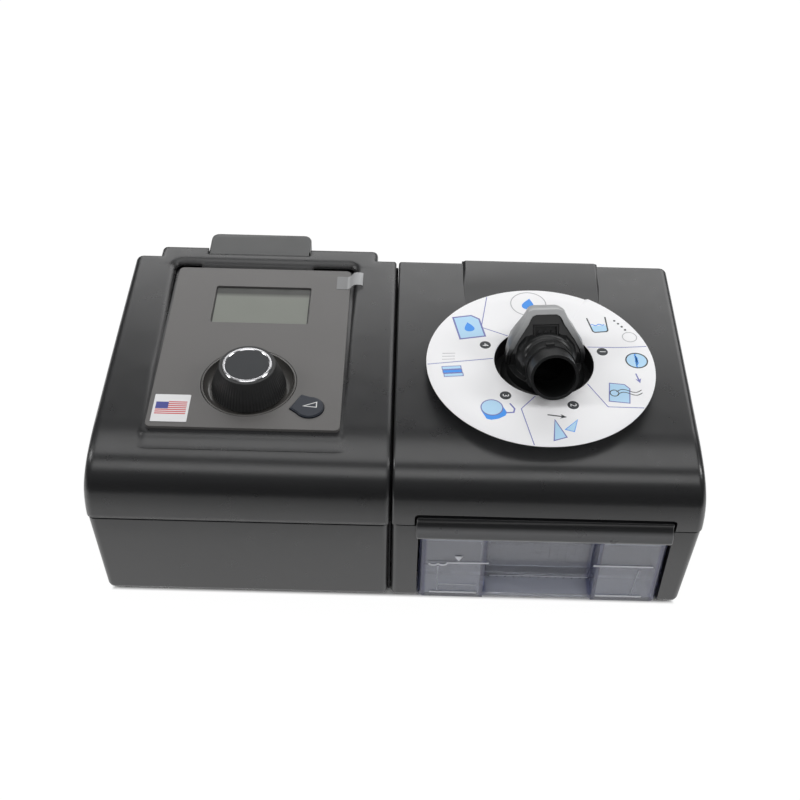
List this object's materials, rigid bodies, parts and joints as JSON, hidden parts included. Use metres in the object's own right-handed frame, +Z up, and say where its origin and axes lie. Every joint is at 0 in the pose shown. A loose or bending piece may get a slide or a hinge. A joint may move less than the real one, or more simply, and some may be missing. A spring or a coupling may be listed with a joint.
{
  "type": "bilevel pap machine",
  "caption": "Bilevel airway pressure unit with a docked heated humidifier, a control wheel, a display, a lift-up lid with a swivel hose elbow and a pull-out water tank.",
  "frame": {"origin": "on the floor, below the middle of the whole machine's box", "axes": "+Z up, the front faces -Y, the humidifier is on the +X side of the therapy unit"},
  "size_m": [0.2902, 0.1712, 0.1267],
  "materials": {
    "case": "satin",
    "accessory": "satin",
    "panel": "matt",
    "dish": "gloss",
    "lens": "clear",
    "display": "matt",
    "wheel": "satin",
    "ring": "polished",
    "cap": "satin",
    "metal": "brushed",
    "inner": "matt",
    "board": "satin",
    "fan": "satin",
    "soft": "matt",
    "seal": "matt",
    "foam": "open cell",
    "duct": "satin",
    "hood": "satin",
    "socket": "matt",
    "card": "matt",
    "film": "clear film",
    "clear": "clear",
    "heater": "satin",
    "pad": "matt"
  },
  "bodies": {
    "base": {"unit_base": "case", "unit_top": "case", "panel_plate": "panel", "display_lens": "lens", "display_module": "display", "dial_dish": "dish", "encoder_body": "inner", "ramp_switch": "inner", "main_board": "board", "blower_base": "inner", "blower_cover": "inner", "motor": "inner", "blower_mounts": "soft", "outlet_duct": "duct", "intake_foam": "foam", "filter_foam": "foam", "filter_cover": "case", "power_inlet": "socket", "power_board": "board", "accessory_module": "accessory", "air_coupling": "soft", "dock_hooks": "socket", "rubber_feet": "soft", "case_screws": "metal", "panel_film": "film", "panel_sticker": "card", "humidifier_base": "case", "hinge_pin": "metal", "heater_pad": "pad", "heater_plate": "heater", "service_cover": "inner", "heater_board": "board"},
    "wheel_press": {"encoder_shaft": "metal"},
    "wheel": {"control_wheel": "wheel", "wheel_ring": "ring", "wheel_cap": "cap"},
    "ramp": {"ramp_button": "cap"},
    "rotor": {"impeller": "fan", "rotor_shaft": "metal"},
    "lid": {"lid_shell": "case", "lid_lip": "case", "lid_liner": "inner", "lid_screws": "metal", "lid_seal": "seal", "outlet_collar": "duct", "instruction_card": "card"},
    "elbow": {"elbow_body": "duct", "elbow_hood": "hood", "hose_socket": "socket", "retaining_ring": "inner"},
    "tank": {"tank_base": "clear", "tank_lid": "clear", "tank_seal": "seal", "tank_plate": "heater"}
  },
  "joints": [
    {"name": "wheel_press_slide", "type": "slide", "parent": "base", "child": "wheel_press", "axis": [0, 0, -1], "range_m": [0, 0.001], "stiffness_N_per_m": 3000, "springref_m": -0.0004},
    {"name": "wheel_turn", "type": "hinge", "parent": "wheel_press", "child": "wheel", "pos_m": [-0.0712, -0.02875, 0.09], "axis": [0, 0, 1], "continuous": true},
    {"name": "ramp_press", "type": "slide", "parent": "base", "child": "ramp", "axis": [0, 0, -1], "range_m": [0, 0.0008], "stiffness_N_per_m": 1500, "springref_m": -0.0004},
    {"name": "rotor_spin", "type": "hinge", "parent": "base", "child": "rotor", "pos_m": [-0.0799, 0.00865, 0.03], "axis": [0, 0, 1], "continuous": true},
    {"name": "lid_hinge", "type": "hinge", "parent": "base", "child": "lid", "pos_m": [0.0681, 0.06125, 0.088], "axis": [-1, 0, 0], "range_deg": [0, 25]},
    {"name": "elbow_swivel", "type": "hinge", "parent": "lid", "child": "elbow", "pos_m": [0.0701, -0.01505, 0.10235], "axis": [0, 0, 1], "range_deg": [-170, 170]},
    {"name": "tank_slide", "type": "slide", "parent": "base", "child": "tank", "axis": [0, -1, 0], "range_m": [0, 0.15]}
  ]
}
